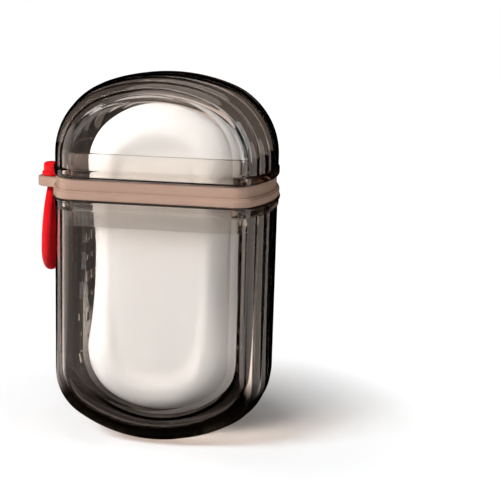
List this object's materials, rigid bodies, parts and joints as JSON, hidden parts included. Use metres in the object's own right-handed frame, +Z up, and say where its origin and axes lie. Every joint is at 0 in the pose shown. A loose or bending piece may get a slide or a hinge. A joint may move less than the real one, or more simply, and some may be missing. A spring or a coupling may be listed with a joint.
{
  "type": "covered soap dish",
  "caption": "Covered soap dish: capsule-shaped travel case in ribbed clear halves, with a soft ring and pull tag between them and a slotted inner tray that holds a soap bar.",
  "frame": {"origin": "middle of the foot, where the lowest ribs meet the surface", "axes": "+Z up along the case to the lid, +Y to the back panel, -Y to the front panel, -X to the lug and the pull tag"},
  "size_m": [0.0819, 0.0556, 0.122],
  "materials": {
    "smoke_plastic": "clear, smoke tinted, glossy",
    "tray_plastic": "clear, smoke tinted, glossy",
    "beige_rubber": "soft satin",
    "red_rubber": "soft satin",
    "soap": "smooth, slightly waxy"
  },
  "bodies": {
    "base": {"base_shell": "smoke_plastic"},
    "tray": {"drain_tray": "tray_plastic", "sealing_ring": "beige_rubber", "soap_bar": "soap"},
    "lid": {"lid_shell": "smoke_plastic"},
    "tag": {"pull_tag": "red_rubber"}
  },
  "joints": [
    {"name": "tray_slide", "type": "slide", "parent": "base", "child": "tray", "axis": [0, 0, 1], "range_m": [0, 0.085]},
    {"name": "lid_slide", "type": "slide", "parent": "tray", "child": "lid", "axis": [0, 0, 1], "range_m": [0, 0.06]},
    {"name": "tag_swivel", "type": "hinge", "parent": "tray", "child": "tag", "pos_m": [-0.04, 0, 0.084], "axis": [0, 0, 1], "range_deg": [-12, 12]}
  ]
}
